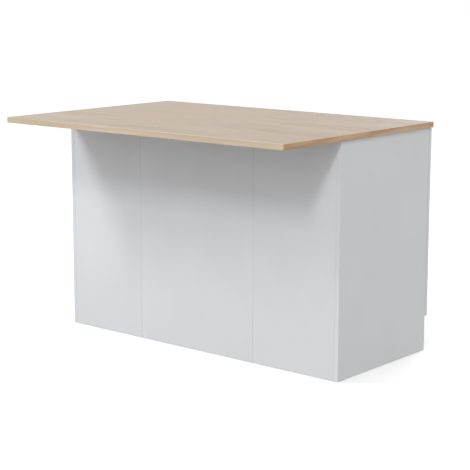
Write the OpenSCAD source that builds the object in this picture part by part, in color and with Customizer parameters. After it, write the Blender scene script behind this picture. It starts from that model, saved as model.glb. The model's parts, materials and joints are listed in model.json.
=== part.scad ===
// Kitchen island unit: a long worktop on a white cabinet of three bays.
// The doors and drawers face -Y. The worktop stands out over a knee space on the +Y side.
// Origin: on the floor, below the middle of the whole unit. Units are millimetres, +Z is up.

/* [Worktop] */
// Length of the worktop, along X
top_l = 1380; // [1300:1:1500]
// Width of the worktop, along Y
top_w = 940; // [900:1:1000]
// Thickness of the worktop
top_t = 22; // [20:1:30]
// Height of the worktop's upper face above the floor
top_z = 900; // [880:1:940]
// How far the worktop stands out past each side panel
end_overhang = 7; // [2:1:20]
// How far the worktop stands out past the back panels, over the knee space
seat_overhang = 340; // [280:1:360]
// How far the worktop stands out past the faces of the doors
front_lip = 2; // [1:0.5:8]

/* [Carcass] */
// Thickness of the carcass boards
board = 16; // [15:0.5:19]
// Distance between the middles of the two dividers
divider_span = 575; // [540:1:620]
// Height of the bottom panels' undersides above the floor
bottom_z = 139; // [110:1:150]
// How far the plinths stand back from the carcass's front edge
plinth_setback = 45; // [30:1:80]
// Width of the front and rear rails, front to back
rail_w = 100; // [90:1:120]
// Gap between neighbouring back panels
back_seam = 1; // [0.5:0.1:2]

/* [Doors and drawer fronts] */
// Thickness of the doors and drawer fronts
front_t = 15; // [15:0.5:18]
// Gap between neighbouring doors and fronts
front_gap = 3; // [2:0.5:4]
// Gap between the worktop and the doors
top_gap = 3; // [2:0.5:6]
// Gap between the doors and the carcass's front edge
door_gap = 2; // [1.8:0.1:2.4]
// How far the doors reach below the bottom panels
front_drop = 1; // [0:0.5:6]
// Height of the top drawer's front
top_front_h = 170; // [165:1:200]

/* [Drawer boxes] */
// Thickness of the drawer sides and backs
side_t = 12; // [10:0.5:14]
// Thickness of the drawer bottoms
base_t = 6; // [4:0.5:8]
// Depth of the grooves that hold the drawer bottoms
groove_d = 5; // [3:0.5:6]
// Height of the grooves above the sides' lower edges
groove_z = 10; // [8:1:14]
// Clearance of a drawer bottom in its grooves
groove_fit = 0.1; // [0.05:0.05:0.3]
// Distance between the drawer boxes and the back panels
box_rear_gap = 77; // [60:1:100]
// Height of the top drawer's sides
box_top_h = 110; // [80:1:112]
// Height of the middle and bottom drawers' sides
box_low_h = 200; // [150:1:220]
// How far a drawer box sits above its front's lower edge
box_lift = 32; // [30:1:36]

/* [Drawer slides] */
// Distance between the slides and the back panels
slide_rear_gap = 81; // [70:1:110]
// Overall thickness of a slide, between the divider and the drawer side
slide_t = 12.7; // [12.5:0.1:14]
// Height of a slide
slide_h = 45; // [40:1:50]
// Thickness of the slides' sheet steel
steel_t = 1.2; // [1:0.1:1.4]
// Running gap between two slide members
slide_run = 0.4; // [0.3:0.05:0.5]
// How far the slides start behind the carcass's front edge
slide_setback = 4; // [2:1:10]
// Height of a slide's middle above the drawer sides' lower edges
slide_lift = 50; // [40:1:55]
// Distance of the outer slide screws from the slide's ends
slide_screw_in = 40; // [30:1:60]

/* [Handles] */
// Length of a handle's bar
handle_l = 220; // [190:1:260]
// Diameter of a handle's bar
handle_d = 10; // [8:0.5:14]
// Diameter of a handle's posts
post_d = 8; // [7:0.5:10]
// Distance between a handle's posts
post_span = 160; // [128:1:180]
// How far a handle stands out from the door face
handle_out = 32; // [28:1:40]
// Distance of a door handle from the door's free edge
handle_edge = 40; // [30:1:60]
// Distance of a door handle's upper end from the door's top
handle_top = 50; // [30:1:120]
// Distance of a drawer handle from its front's top
handle_drop = 55; // [40:1:80]
// Diameter of the handle screws
handle_screw_d = 4; // [3:0.5:5]
// Depth of a handle screw in its post
handle_screw_in = 12; // [8:1:16]
// Height of a handle screw's head
handle_head_h = 2.2; // [1.6:0.1:2.6]

/* [Hinges] */
// Outer diameter of the hinge cups
cup_d = 35; // [34.8:0.1:35.4]
// Distance of a cup from the door's hinge edge
cup_edge = 5; // [4.8:0.1:5.2]
// Inside depth of a cup
cup_deep = 11; // [10.8:0.1:11.2]
// Thickness of a cup's side wall
cup_wall = 1.5; // [1.3:0.1:1.6]
// Thickness of a cup's floor
cup_floor = 0.5; // [0.4:0.1:0.8]
// Thickness of the cup's flange
flange_t = 0.8; // [0.6:0.1:1]
// Width of the flange around the cup
rim = 1.5; // [1:0.1:1.8]
// Distance of the cup's screws from its middle, along the door
ear_in = 9.5; // [9:0.5:10]
// Distance of the cup's screws above and below its middle
ear_z = 22.5; // [22:0.5:24]
// Radius of the flange's ears
ear_r = 6.5; // [5.5:0.5:7]
// Distance of a hinge from the nearer end of the door
hinge_in = 100; // [80:1:130]
// Distance of the arm's pivot from the side panel's outer face
arm_pivot_x = 34; // [33.8:0.1:34.2]
// Distance of the arm's pivot in front of the carcass's front edge
arm_pivot_y = 9; // [8.8:0.1:9.2]
// Distance of the cup's pivot from the door's hinge edge
cup_pivot_x = 13; // [12.8:0.1:13.2]
// Depth of the cup's pivot below the door's rear face
cup_pivot_y = 4; // [3.8:0.1:4.2]
// Diameter of the pivot pins
pin_d = 2.4; // [2:0.1:2.6]
// Running gap around a pivot pin
pin_run = 0.05; // [0.02:0.01:0.09]
// Outer diameter of the link's eyes
eye_d = 4.8; // [4.2:0.1:5]
// Thickness of the link
link_t = 2; // [1.6:0.1:2.2]
// Height of the link
link_h = 4; // [3:0.5:4]
// Gap between the link and the arm's fork
fork_gap = 0.3; // [0.2:0.05:0.4]
// Width of the arm's nose
nose_w = 6; // [5.4:0.1:6]
// Height of the arm's nose
nose_h = 9; // [8.6:0.1:9.4]
// Distance of the mounting plate's screws from the carcass's front edge
plate_y = 37; // [35:1:45]
// Distance between the mounting plate's screws
plate_span = 32; // [30:1:36]
// Thickness of the mounting plate's wings
plate_t = 2; // [1.5:0.1:2.5]
// Diameter of the mounting plate's round wing ends
wing_d = 16; // [14:0.5:18]
// Length of the part of the arm that is seated on the plate
seat_l = 38; // [34:1:44]
// Height of the arm's channel above the mounting plate's wings
arm_lift = 3; // [2:0.5:4]
// Depth of the arm's channel over the plate's ridge
arm_rise = 8.4; // [8:0.1:9]
// Thickness of the arm's sheet steel
arm_web = 1.2; // [1:0.1:1.4]
// Width of the plate's ridge
ridge_h = 13; // [12:0.5:14]
// Gap on each side of the ridge in the arm's channel
channel_gap = 0.3; // [0.2:0.1:0.5]
// Distance between the two screws in the arm
arm_screw_span = 18; // [16:1:20]
// Length of the screws in the arm
arm_screw_l = 6; // [5:0.5:8]

/* [Shelves] */
// Height of the shelves above the bottom panels
shelf_up = 340; // [300:1:380]
// Gap at each end of a shelf
shelf_gap = 1; // [0.5:0.5:2]
// How far the shelves stand back from the carcass's front edge
shelf_setback = 70; // [66:1:100]
// Diameter of the shelf pins and of their holes
shelf_pin_d = 5; // [4:0.5:6]
// Depth of the shelf pin holes
shelf_hole = 9; // [7:0.5:10]
// Distance between neighbouring shelf pin holes
hole_pitch = 32; // [25:1:40]
// Number of shelf pin holes above and below the one in use
hole_side = 2; // [0:1:3]
// Distance of the shelf pins from the shelf's front and rear edges
shelf_pin_in = 45; // [35:1:60]
// Reach of a shelf pin under its shelf
pin_reach = 8; // [6:0.5:10]
// Diameter of a shelf pin's collar
collar_d = 8; // [7:0.5:10]
// Thickness of a shelf pin's collar
collar_t = 2; // [1:0.5:3]

/* [Fasteners] */
// Diameter of the cam locks
cam_d = 15; // [12:0.5:15.5]
// Width and depth of the cam locks' driver slots
cam_slot = 1.6; // [1:0.1:2]
// Depth of the cam locks' holes
cam_deep = 12.5; // [11:0.5:13]
// Distance of a cam lock from the edge that it pulls tight
cam_set = 34; // [24:1:34]
// Diameter of the cam bolts' shanks
bolt_d = 6; // [5:0.5:6.5]
// Length of the cam bolts' heads
bolt_head_l = 2.5; // [2:0.5:3]
// Length of the neck behind a cam bolt's head
bolt_neck_l = 3; // [2.5:0.5:4]
// Diameter of the neck behind a cam bolt's head
bolt_neck_d = 3.5; // [3:0.5:4]
// Diameter of the cam bolts' threaded ends
thread_d = 5; // [4:0.5:5.5]
// Depth of the cam bolts' threaded ends
thread_l = 10; // [8:0.5:11]
// Diameter of the dowels
dowel_d = 8; // [6:0.5:8]
// Length of the dowels
dowel_l = 30; // [28:1:35]
// Depth of a dowel in a side panel
dowel_in = 10; // [8:0.5:11]
// Spare length at the end of a dowel's or screw's hole
hole_spare = 1; // [0.5:0.5:2]
// Distance of a dowel from the cam lock beside it
dowel_step = 32; // [28:1:36]
// Gap around dowels, bolts and screws in their holes
hole_fit = 0.05; // [0.02:0.01:0.1]
// Gap around a cam bolt in its hole
bolt_room = 1; // [0.5:0.1:1.2]
// Gap around a cam bolt's head in its cam lock
head_room = 0.5; // [0.3:0.1:0.6]
// Diameter of the floor glides
glide_d = 15; // [12:0.5:15]
// Thickness of the floor glides below the boards
glide_h = 2; // [1.5:0.5:4]
// Distance of the floor glides from the boards' ends
glide_in = 40; // [30:1:60]
// Diameter of the glides' nails
nail_d = 2; // [1.5:0.1:3]
// Length of the glides' nails in the boards
nail_l = 14; // [10:1:20]
// Diameter of the small screws
screw_d = 3.5; // [3:0.1:4]
// Head diameter of the small screws
screw_head_d = 7; // [6:0.5:7.5]
// Head height of the small screws
screw_head_h = 1.5; // [1.2:0.1:1.6]
// Width and depth of the small screws' driver slots
screw_slot = 0.8; // [0.6:0.1:1]
// Length of the small screws below their heads
screw_l = 11; // [9:0.5:12]
// Height of the worktop screws' heads
long_head_h = 2.5; // [2:0.1:3.5]
// Diameter of the long screws in the rails
long_screw_d = 5; // [4:0.5:6]
// Depth of the worktop screws in the worktop
top_screw_in = 14; // [12:1:16]
// Depth of the rail screws in the dividers
rail_screw_in = 36; // [30:1:50]

/* [Hidden] */

WHITE = [0.87, 0.88, 0.88];
OAK = [0.79, 0.74, 0.67];
STEEL = [0.72, 0.72, 0.71];
ZINC = [0.62, 0.64, 0.66];
BEECH = [0.80, 0.66, 0.48];
NYLON = [0.93, 0.93, 0.90];
$fn = 48;
// Overrun of a cut past the face that it opens
cut = 1;

// Places along Y, from the seat side to the handles
seat_y = (top_w - front_lip + handle_out) / 2;
front_edge_y = seat_y - top_w;
front_y = front_edge_y + front_lip;
front_back_y = front_y + front_t;
carcass_y = front_back_y + door_gap;
back_y = seat_y - seat_overhang;
inside_y = back_y - board;
plinth_y = carcass_y + plinth_setback;

// Places along X
outer_x = top_l / 2 - end_overhang;
side_x = outer_x - board;
divider_x = divider_span / 2;
bay_x = divider_x - board / 2;
door_x = divider_x + front_gap / 2;

// Places along Z
top_under_z = top_z - top_t;
rail_z = top_under_z - board;
front_low_z = bottom_z - front_drop;
front_high_z = top_under_z - top_gap;
low_front_h = (front_high_z - front_low_z - top_front_h - 2 * front_gap) / 2;
shelf_z = bottom_z + board + shelf_up;
hinge_zs = [front_low_z + hinge_in, front_high_z - hinge_in];

// Each bay's inside, each drawer's lower edge, front height and side height
bays = [[-side_x, board / 2 - divider_x - board], [-bay_x, bay_x], [divider_x + board / 2, side_x]];
back_edges = [-side_x, -divider_x, divider_x, side_x];
TOP = 2;
MIDDLE = 1;
BOTTOM = 0;
front_zs = [for (i = [0:2]) front_low_z + i * (low_front_h + front_gap)];
front_hs = [low_front_h, low_front_h, top_front_h];
box_hs = [box_low_h, box_low_h, box_top_h];

// Fixings along the bottom panels' ends and rear edges, and along the rails
end_fix_ys = [carcass_y + 1.5 * rail_w, inside_y - 1.5 * rail_w];
rail_mid_ys = [carcass_y + rail_w / 2, inside_y - rail_w / 2];
rear_fix_in = 2.4 * cam_set;
function rear_fix_xs(bay) = [bay[0] + rear_fix_in, bay[1] - rear_fix_in];
top_screw_xs = [for (b = bays) for (f = [0.3, 0.7]) b[0] + f * (b[1] - b[0])];
bottom_mid_z = bottom_z + board / 2;
rail_mid_z = rail_z + board / 2;
plinth_dowel_zs = [bottom_z * 0.3, bottom_z * 0.7];

// Places of the shelf pins along Y
shelf_pin_ys = [carcass_y + shelf_setback + shelf_pin_in, inside_y - shelf_gap - shelf_pin_in];

// Hinge geometry, with x from the side panel's outer face and y from the carcass's front edge
cup_r = cup_d / 2 - cup_wall;
cup_x = cup_edge + cup_d / 2;
cup_pin_y = -door_gap - cup_pivot_y;
cup_pin_half = sqrt(pow(cup_r, 2) - pow(cup_x - cup_pivot_x, 2)) + cup_wall / 2;
ear_x = cup_x + ear_in;
link_l = norm([arm_pivot_x - cup_pivot_x, cup_pin_y + arm_pivot_y]);
link_turn = atan2(cup_pin_y + arm_pivot_y, cup_pivot_x - arm_pivot_x);
arm_seat_y = plate_y - seat_l / 2;
arm_low_x = board + plate_t + arm_lift;
arm_high_x = arm_low_x + arm_rise;
arm_screw_ys = [plate_y - arm_screw_span / 2, plate_y + arm_screw_span / 2];

// Slide sections, with x from the divider's face towards the drawer
outer_reach = slide_t - 2;
middle_x = steel_t + screw_head_h + slide_run;
middle_reach = slide_t - steel_t - slide_run;
middle_h = slide_h - 2 * (steel_t + slide_run);
inner_h = middle_h - 2 * (steel_t + slide_run);
inner_x = middle_x + steel_t + slide_run;
slide_y = carcass_y + slide_setback;
slide_l = inside_y - slide_rear_gap - slide_y;
slide_screw_ys = [slide_y + slide_screw_in, slide_y + slide_l / 2, slide_y + slide_l - slide_screw_in];
box_x = bay_x - slide_t;
well_x = box_x - side_t;
box_back_y = inside_y - box_rear_gap;
handle_bar_y = front_y - handle_out + handle_d / 2;

function box_z(i) = front_zs[i] + box_lift;
function slide_z(i) = box_z(i) + slide_lift;

// A board between two corners
module slab(x0, x1, y0, y1, z0, z1) {
    translate([x0, y0, z0]) cube([x1 - x0, y1 - y0, z1 - z0]);
}

// Draws for the right side, or mirrored for the left
module on_side(side) {
    mirror([side < 0 ? 1 : 0, 0, 0]) children();
}

// A round bar along +X from the origin
module bar_x(d, l) {
    rotate([0, 90, 0]) cylinder(d = d, h = l);
}

// Places a fixing at a panel's edge: the child's +X runs into the panel
module at_ends(bay, ys, z) {
    for (y = ys) {
        translate([bay[0], y, z]) children();
        translate([bay[1], y, z]) rotate([0, 0, 180]) children();
    }
}

module at_rear(bay, z) {
    for (x = rear_fix_xs(bay)) translate([x, inside_y, z]) rotate([0, 0, -90]) children();
}

// Cuts for one cam lock and its bolt in a panel
module cam_cuts() {
    translate([cam_set, 0, -board / 2 - cut]) cylinder(d = cam_d, h = cam_deep + cut);
    translate([-cut, 0, 0]) bar_x(bolt_d + 2 * bolt_room, cam_set + cut);
}

// The threaded end's hole in the board beside the panel
module thread_cut() {
    translate([-thread_l, 0, 0]) bar_x(thread_d, thread_l + cut);
}

// The pair of dowel holes beside a cam lock, in the panel's edge
module dowel_cuts() {
    for (s = [-1, 1]) translate([-cut, s * dowel_step, 0])
        bar_x(dowel_d, dowel_l - dowel_in + hole_spare + cut);
}

// The same pair of holes in the side panel's face
module side_dowel_cuts() {
    for (s = [-1, 1]) translate([-dowel_in - hole_spare, s * dowel_step, 0])
        bar_x(dowel_d, dowel_in + hole_spare + cut);
}

// One row of blind shelf pin holes, drilled along +X from a board's face
module shelf_holes() {
    for (y = shelf_pin_ys, i = [-hole_side:hole_side])
        translate([-cut, y, shelf_z - shelf_pin_d / 2 + i * hole_pitch])
            bar_x(shelf_pin_d, shelf_hole + cut);
}

module worktop() {
    color(OAK) difference() {
        slab(-top_l / 2, top_l / 2, front_edge_y, seat_y, top_under_z, top_z);
        for (x = top_screw_xs, y = rail_mid_ys)
            translate([x, y, top_under_z - cut])
                cylinder(d = long_screw_d + 2 * hole_fit, h = top_screw_in + cut);
    }
}

// Right side panel, with its inner face at side_x
module side_panel() {
    color(WHITE) difference() {
        slab(side_x, outer_x, carcass_y, back_y, glide_h, top_under_z);
        translate([side_x, 0, 0]) shelf_holes();
        for (y = end_fix_ys) translate([side_x, y, bottom_mid_z]) rotate([0, 0, 180]) {
            thread_cut();
            side_dowel_cuts();
        }
        for (y = rail_mid_ys) translate([side_x, y, rail_mid_z]) rotate([0, 0, 180]) {
            thread_cut();
            side_dowel_cuts();
        }
        for (z = plinth_dowel_zs) translate([side_x - cut, plinth_y + board / 2, z])
            bar_x(dowel_d, dowel_in + hole_spare + cut);
        at_hinges() plate_screw_sites() screw_cut();
        for (y = [carcass_y + glide_in, back_y - glide_in])
            translate([(side_x + outer_x) / 2, y, glide_h]) nail_cut();
    }
}

// Right divider, with shelf holes on its outer face and slides on its inner face
module divider() {
    color(WHITE) difference() {
        slab(bay_x, bay_x + board, carcass_y, inside_y, glide_h, rail_z);
        translate([bay_x + board, 0, 0]) mirror([1, 0, 0]) shelf_holes();
        for (y = end_fix_ys) translate([bay_x - cut, y, bottom_mid_z]) {
            bar_x(bolt_d + 2 * bolt_room, board + 2 * cut);
            for (s = [-1, 1]) translate([0, s * dowel_step, 0]) bar_x(dowel_d, board + 2 * cut);
        }
        for (z = plinth_dowel_zs) translate([bay_x - cut, plinth_y + board / 2, z])
            bar_x(dowel_d, board + 2 * cut);
        for (i = [BOTTOM, MIDDLE, TOP], y = slide_screw_ys)
            translate([bay_x, y, slide_z(i)]) screw_cut();
        for (y = rail_mid_ys) translate([bay_x + board / 2, y, rail_z - rail_screw_in])
            cylinder(d = long_screw_d + 2 * hole_fit, h = rail_screw_in + cut);
        for (y = [carcass_y + glide_in, inside_y - glide_in])
            translate([bay_x + board / 2, y, glide_h]) nail_cut();
    }
}

module bottom_panel(bay) {
    color(WHITE) difference() {
        slab(bay[0], bay[1], carcass_y, inside_y, bottom_z, bottom_z + board);
        at_ends(bay, end_fix_ys, bottom_mid_z) {
            cam_cuts();
            dowel_cuts();
        }
        at_rear(bay, bottom_mid_z) cam_cuts();
    }
}

module back_panel(i) {
    x0 = back_edges[i] + (i > 0 ? back_seam / 2 : 0);
    x1 = back_edges[i + 1] - (i < 2 ? back_seam / 2 : 0);
    color(WHITE) difference() {
        slab(x0, x1, inside_y, back_y, glide_h, top_under_z);
        at_rear(bays[i], bottom_mid_z) thread_cut();
        at_rear(bays[i], rail_mid_z) thread_cut();
        for (x = [x0 + glide_in, x1 - glide_in])
            translate([x, (inside_y + back_y) / 2, glide_h]) nail_cut();
    }
}

module plinth(bay) {
    color(WHITE) difference() {
        slab(bay[0], bay[1], plinth_y, plinth_y + board, glide_h, bottom_z);
        at_ends(bay, [plinth_y + board / 2], 0)
            for (z = plinth_dowel_zs) translate([-cut, 0, z])
                bar_x(dowel_d, dowel_l - dowel_in + hole_spare + cut);
    }
}

module rail(y0, is_rear) {
    color(WHITE) difference() {
        slab(-side_x, side_x, y0, y0 + rail_w, rail_z, top_under_z);
        at_ends([-side_x, side_x], [y0 + rail_w / 2], rail_mid_z) {
            cam_cuts();
            dowel_cuts();
        }
        if (is_rear) for (bay = bays) at_rear(bay, rail_mid_z) cam_cuts();
        for (x = top_screw_xs) translate([x, y0 + rail_w / 2, rail_z - cut])
            cylinder(d = long_screw_d + 2 * hole_fit, h = board + 2 * cut);
        for (s = [-1, 1]) translate([s * divider_x, y0 + rail_w / 2, 0]) rail_screw(hole_fit);
    }
}

module shelf(bay) {
    color(WHITE)
        slab(bay[0] + shelf_gap, bay[1] - shelf_gap, carcass_y + shelf_setback, inside_y - shelf_gap,
            shelf_z, shelf_z + board);
}

// One shelf pin: a peg in the board, a collar on its face and a peg under the shelf
module shelf_pin() {
    translate([hole_spare - shelf_hole, 0, 0])
        bar_x(shelf_pin_d - 2 * hole_fit, shelf_hole - hole_spare + pin_reach);
    bar_x(collar_d, collar_t);
}

// The pins of both shelves; their collars are cut flat below the shelf
module shelf_pins() {
    pin_z = shelf_z - shelf_pin_d / 2;
    color(STEEL) for (side = [-1, 1]) on_side(side) for (y = shelf_pin_ys) difference() {
        union() {
            translate([bays[2][0], y, pin_z]) shelf_pin();
            translate([side_x, y, pin_z]) mirror([1, 0, 0]) shelf_pin();
        }
        slab(bays[2][0], side_x, y - collar_d, y + collar_d, shelf_z, shelf_z + board);
    }
}

// A cross-shaped driver slot cut up from z = 0
module cross_slot(l, w, deep) {
    translate([-l / 2, -w / 2, -cut]) cube([l, w, deep + cut]);
    translate([-w / 2, -l / 2, -cut]) cube([w, l, deep + cut]);
}

// A cam lock with the slot that its bolt's head enters
module cam_lock() {
    translate([cam_set, 0, -board / 2]) difference() {
        cylinder(d = cam_d - 2 * hole_fit, h = cam_deep - head_room);
        translate([-cam_d, 0, board / 2]) bar_x(bolt_d + 2 * head_room, cam_d + cam_d / 4);
        cross_slot(cam_d / 2, cam_slot, cam_slot);
    }
}

module every_cam_site() {
    for (bay = bays) {
        at_ends(bay, end_fix_ys, bottom_mid_z) children();
        at_rear(bay, bottom_mid_z) children();
        at_rear(bay, rail_mid_z) children();
    }
    at_ends([-side_x, side_x], rail_mid_ys, rail_mid_z) children();
}

module cam_locks() {
    color(ZINC) every_cam_site() cam_lock();
}

// The part of a cam bolt between a board's face and the cam lock
module bolt_shank() {
    bar_x(bolt_d, cam_set - bolt_neck_l);
    translate([cam_set - bolt_neck_l, 0, 0]) bar_x(bolt_neck_d, bolt_neck_l);
    translate([cam_set, 0, 0]) bar_x(bolt_d, bolt_head_l);
}

module cam_bolt() {
    translate([hole_fit - thread_l, 0, 0]) bar_x(thread_d - 2 * hole_fit, thread_l);
    bolt_shank();
}

module cam_bolts() {
    color(ZINC) {
        for (bay = bays) {
            at_rear(bay, bottom_mid_z) cam_bolt();
            at_rear(bay, rail_mid_z) cam_bolt();
        }
        at_ends([-side_x, side_x], rail_mid_ys, rail_mid_z) cam_bolt();
        at_ends([-side_x, side_x], end_fix_ys, bottom_mid_z) cam_bolt();
        // Double bolts pass through the dividers and end in a cam lock on either side
        for (s = [-1, 1], y = end_fix_ys) translate([s * divider_x, y, bottom_mid_z]) {
            translate([-board / 2, 0, 0]) bar_x(bolt_d, board);
            translate([board / 2, 0, 0]) bolt_shank();
            mirror([1, 0, 0]) translate([board / 2, 0, 0]) bolt_shank();
        }
    }
}

module dowel() {
    bar_x(dowel_d - 2 * hole_fit, dowel_l);
}

module wood_dowels() {
    color(BEECH) {
        for (s = [-1, 1]) {
            // Through the dividers, into the bottom panels and plinths on both sides
            for (y = end_fix_ys, t = [-1, 1])
                translate([s * divider_x - dowel_l / 2, y + t * dowel_step, bottom_mid_z]) dowel();
            for (z = plinth_dowel_zs)
                translate([s * divider_x - dowel_l / 2, plinth_y + board / 2, z]) dowel();
            // Into the side panels
            on_side(s) translate([side_x + dowel_in - dowel_l, 0, 0]) {
                for (y = end_fix_ys, t = [-1, 1]) translate([0, y + t * dowel_step, bottom_mid_z]) dowel();
                for (y = rail_mid_ys, t = [-1, 1]) translate([0, y + t * dowel_step, rail_mid_z]) dowel();
                for (z = plinth_dowel_zs) translate([0, plinth_y + board / 2, z]) dowel();
            }
        }
    }
}

module nail_cut() {
    translate([0, 0, -cut]) cylinder(d = nail_d + 2 * hole_fit, h = nail_l + 2 * cut);
}

// A round nylon foot with its nail, standing on the floor
module glide() {
    cylinder(d = glide_d, h = glide_h);
    translate([0, 0, glide_h / 2]) cylinder(d = nail_d, h = nail_l);
}

module floor_glides() {
    color(NYLON) {
        for (s = [-1, 1]) {
            for (y = [carcass_y + glide_in, back_y - glide_in])
                translate([s * (side_x + outer_x) / 2, y, 0]) glide();
            for (y = [carcass_y + glide_in, inside_y - glide_in]) translate([s * divider_x, y, 0]) glide();
        }
        for (i = [0:2]) {
            x0 = back_edges[i] + (i > 0 ? back_seam / 2 : 0);
            x1 = back_edges[i + 1] - (i < 2 ? back_seam / 2 : 0);
            for (x = [x0 + glide_in, x1 - glide_in]) translate([x, (inside_y + back_y) / 2, 0]) glide();
        }
    }
}

// Screws from below, through the rails and into the worktop
module worktop_screws() {
    color(ZINC) for (x = top_screw_xs, y = rail_mid_ys) translate([x, y, rail_z]) {
        cylinder(d = long_screw_d, h = board + top_screw_in - hole_spare);
        translate([0, 0, -long_head_h]) difference() {
            cylinder(d = 2 * long_screw_d, h = long_head_h);
            cross_slot(long_screw_d, screw_slot, screw_slot);
        }
    }
}

// A countersunk screw from a rail's top into a divider; grow widens it for its hole
module rail_screw(grow) {
    translate([0, 0, rail_z - rail_screw_in + hole_spare])
        cylinder(d = long_screw_d + 2 * grow, h = rail_screw_in - hole_spare + board);
    translate([0, 0, top_under_z - long_head_h])
        cylinder(d1 = long_screw_d, d2 = 2 * long_screw_d, h = long_head_h);
}

module rail_screws() {
    color(ZINC) for (s = [-1, 1], y = rail_mid_ys) translate([s * divider_x, y, 0]) difference() {
        rail_screw(0);
        translate([0, 0, top_under_z]) mirror([0, 0, 1])
            cross_slot(long_screw_d, screw_slot, screw_slot);
    }
}

// A small screw: its head stands on a face at x = 0, its shank runs along +X
module small_screw(l = screw_l) {
    bar_x(screw_d, l);
    translate([-screw_head_h, 0, 0]) difference() {
        bar_x(screw_head_d, screw_head_h);
        rotate([0, 90, 0]) cross_slot(screw_head_d / 2, screw_slot, screw_slot);
    }
}

module screw_cut(l = screw_l) {
    translate([-cut, 0, 0]) bar_x(screw_d + 2 * hole_fit, l + 2 * cut);
}

module small_screws() {
    color(ZINC) for (side = [-1, 1]) on_side(side) {
        for (i = [BOTTOM, MIDDLE, TOP], y = slide_screw_ys)
            translate([bay_x - steel_t, y, slide_z(i)]) small_screw();
        at_hinges() plate_screw_sites() small_screw();
    }
}

// Hinge frame on the right side: x from the outer face inwards, y from the front edge
module at_hinges() {
    for (z = hinge_zs) translate([outer_x, carcass_y, z]) mirror([1, 0, 0]) children();
}

// Plate screws start on the wing and run outwards into the side panel
module plate_screw_sites() {
    for (s = [-1, 1]) translate([board + plate_t, plate_y, s * plate_span / 2])
        mirror([1, 0, 0]) children();
}

module door_board() {
    color(WHITE) difference() {
        slab(door_x, outer_x, front_y, front_back_y, front_low_z, front_high_z);
        at_hinges() {
            translate([cup_x, cut - door_gap, 0]) rotate([90, 0, 0])
                cylinder(d = cup_d, h = cup_deep + cup_floor + cut);
            for (s = [-1, 1]) translate([ear_x, cut - door_gap, s * ear_z])
                rotate([90, 0, 0]) cylinder(d = screw_d + 2 * hole_fit, h = screw_l + cut);
        }
        door_handle_place() handle_cuts();
    }
}

// Draws a handle's child along +Z from the middle of its bar's lower end
module door_handle_place() {
    translate([door_x + handle_edge, front_y, front_high_z - handle_top - handle_l]) children();
}

module handle_cuts() {
    for (s = [-1, 1]) translate([0, -cut, handle_l / 2 + s * post_span / 2]) rotate([-90, 0, 0])
        cylinder(d = handle_screw_d + 2 * hole_fit, h = front_t + 2 * cut);
}

// Bar, two posts and two screws, with the door's face at y = 0
module handle() {
    bar_y = handle_d / 2 - handle_out;
    color(STEEL) difference() {
        union() {
            translate([0, bar_y, 0]) cylinder(d = handle_d, h = handle_l);
            for (s = [-1, 1]) translate([0, bar_y, handle_l / 2 + s * post_span / 2])
                rotate([-90, 0, 0]) cylinder(d = post_d, h = -bar_y);
        }
        for (s = [-1, 1]) translate([0, -handle_screw_in, handle_l / 2 + s * post_span / 2])
            rotate([-90, 0, 0]) cylinder(d = handle_screw_d, h = handle_screw_in + cut);
    }
    color(ZINC) for (s = [-1, 1]) translate([0, front_t, handle_l / 2 + s * post_span / 2]) {
        rotate([90, 0, 0]) cylinder(d = handle_screw_d - 2 * hole_fit, h = front_t + handle_screw_in - cut);
        rotate([-90, 0, 0]) difference() {
            cylinder(d = 2 * handle_screw_d, h = handle_head_h);
            translate([0, 0, handle_head_h]) mirror([0, 0, 1])
                cross_slot(handle_screw_d, screw_slot, screw_slot);
        }
    }
}

module door_handle() {
    door_handle_place() handle();
}

// Cup with its flange and pivot pin, and the two screws that hold it in the door
module hinge_cups() {
    at_hinges() {
        color(ZINC) difference() {
            union() {
                translate([cup_x, -door_gap, 0]) rotate([90, 0, 0])
                    cylinder(d = cup_d - 2 * hole_fit, h = cup_deep + cup_floor);
                translate([0, flange_t - door_gap, 0]) rotate([90, 0, 0]) {
                    translate([cup_x, 0, 0]) cylinder(d = cup_d + 2 * rim, h = flange_t);
                    for (s = [-1, 1]) translate([ear_x, s * ear_z, 0]) cylinder(r = ear_r, h = flange_t);
                    translate([ear_x - ear_r, -ear_z, 0]) cube([2 * ear_r, 2 * ear_z, flange_t]);
                }
            }
            translate([cup_x, cut + flange_t - door_gap, 0]) rotate([90, 0, 0])
                cylinder(r = cup_r, h = cup_deep + flange_t + cut);
            for (s = [-1, 1]) translate([ear_x, cut - door_gap, s * ear_z])
                rotate([90, 0, 0]) cylinder(d = screw_d + 2 * hole_fit, h = 2 * cut);
        }
        color(ZINC) translate([cup_pivot_x, cup_pin_y, -cup_pin_half])
            cylinder(d = pin_d, h = 2 * cup_pin_half);
        color(ZINC) for (s = [-1, 1]) translate([ear_x, flange_t + hole_fit - door_gap, s * ear_z])
            rotate([0, 0, -90]) small_screw(screw_l - hole_spare);
    }
}

// Link from the arm's pivot to the cup's pivot, with an eye at each end
module hinge_links() {
    color(STEEL) at_hinges() translate([arm_pivot_x, -arm_pivot_y, -link_h / 2])
        rotate([0, 0, link_turn]) difference() {
            union() {
                for (x = [0, link_l]) translate([x, 0, 0]) cylinder(d = eye_d, h = link_h);
                translate([0, -link_t / 2, 0]) cube([link_l, link_t, link_h]);
            }
            for (x = [0, link_l]) translate([x, 0, -cut])
                cylinder(d = pin_d + 2 * pin_run, h = link_h + 2 * cut);
        }
}

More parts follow.
